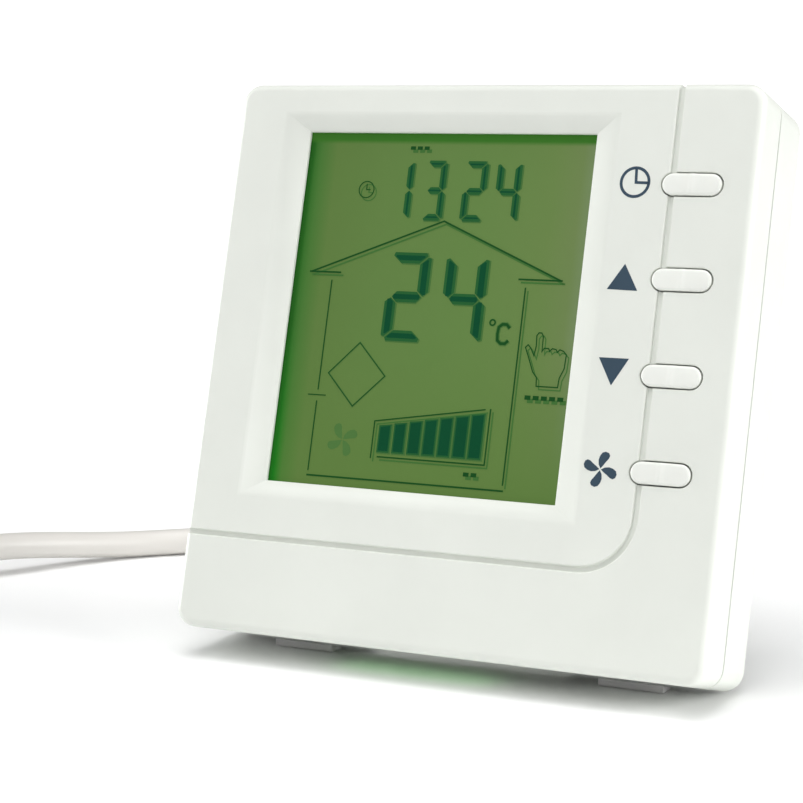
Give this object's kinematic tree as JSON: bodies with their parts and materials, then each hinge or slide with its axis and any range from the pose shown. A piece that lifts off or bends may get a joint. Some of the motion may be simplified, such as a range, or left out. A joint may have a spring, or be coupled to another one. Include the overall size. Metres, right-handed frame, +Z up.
{
  "type": "programmable room timer",
  "caption": "Desktop programmable timer and room controller with a backlit display, push buttons, a fold-out stand and a signal lead.",
  "frame": {"origin": "centre of the standing unit's footprint, on the surface it stands on", "axes": "+Z up, the display faces -Y and leans back, +X to the right seen from the front"},
  "size_m": [0.2338, 0.0937, 0.0877],
  "materials": {
    "housing_plastic": "fine satin moulded ABS",
    "button_plastic": "satin moulded ABS",
    "lcd": "glossy polariser over backlit liquid crystal",
    "light_guide": "clear tinted acrylic",
    "strip_rubber": "matt",
    "circuit_board": "green solder mask",
    "black_plastic": "matt",
    "steel": "plated",
    "capacitor_sleeve": "shrink sleeve",
    "sensor_resin": "dipped bead",
    "terminal_green": "matt nylon",
    "wire_red": "satin",
    "wire_yellow": "satin",
    "wire_green": "satin",
    "wire_black": "satin",
    "rubber": "matt pale rubber",
    "gland_rubber": "matt soft PVC",
    "cord_sheath": "satin PVC",
    "tie": "woven hook-and-loop",
    "plug_plastic": "natural nylon"
  },
  "bodies": {
    "housing": {"front_cover": "housing_plastic", "rear_shell": "housing_plastic", "hinge_rod": "steel", "cable_gland": "gland_rubber", "foot_left": "rubber", "foot_right": "rubber", "lcd_glass": "lcd", "lcd_frame": "black_plastic", "backlight_guide": "light_guide", "contact_strip_bottom": "strip_rubber", "contact_strip_top": "strip_rubber", "main_board": "circuit_board", "microcontroller": "black_plastic", "clock_crystal": "steel", "voltage_regulator": "black_plastic", "storage_capacitor": "capacitor_sleeve", "buzzer": "black_plastic", "temperature_sensor": "sensor_resin", "cell_holder": "black_plastic", "coin_cell": "steel", "terminal_block": "terminal_green", "wire_red": "wire_red", "wire_yellow": "wire_yellow", "wire_green": "wire_green", "wire_black": "wire_black", "board_screw_1": "steel", "board_screw_2": "steel", "board_screw_3": "steel", "board_screw_4": "steel", "case_screw_1": "steel", "case_screw_2": "steel", "case_screw_3": "steel", "case_screw_4": "steel", "switch_clock": "black_plastic", "switch_up": "black_plastic", "switch_down": "black_plastic", "switch_fan": "black_plastic", "cord_lead": "cord_sheath", "cord_coil": "cord_sheath", "cord_tail": "cord_sheath", "cord_tie": "tie", "cord_plug": "plug_plastic"},
    "button_clock": {"button_clock": "button_plastic", "plunger_clock": "black_plastic"},
    "button_up": {"button_up": "button_plastic", "plunger_up": "black_plastic"},
    "button_down": {"button_down": "button_plastic", "plunger_down": "black_plastic"},
    "button_fan": {"button_fan": "button_plastic", "plunger_fan": "black_plastic"},
    "stand": {"stand": "housing_plastic", "stand_pad": "rubber"}
  },
  "joints": [
    {"name": "press_clock", "type": "slide", "parent": "housing", "child": "button_clock", "axis": [0, 0.9627, -0.2706], "range_m": [0, 0.0005], "stiffness_N_per_m": 600, "springref_m": -0.0005},
    {"name": "press_up", "type": "slide", "parent": "housing", "child": "button_up", "axis": [0, 0.9627, -0.2706], "range_m": [0, 0.0005], "stiffness_N_per_m": 600, "springref_m": -0.0005},
    {"name": "press_down", "type": "slide", "parent": "housing", "child": "button_down", "axis": [0, 0.9627, -0.2706], "range_m": [0, 0.0005], "stiffness_N_per_m": 600, "springref_m": -0.0005},
    {"name": "press_fan", "type": "slide", "parent": "housing", "child": "button_fan", "axis": [0, 0.9627, -0.2706], "range_m": [0, 0.0005], "stiffness_N_per_m": 600, "springref_m": -0.0005},
    {"name": "stand_fold", "type": "hinge", "parent": "housing", "child": "stand", "pos_m": [0, 0.00928, 0.05619], "axis": [1, 0, 0], "range_deg": [-28.39, 0]}
  ]
}
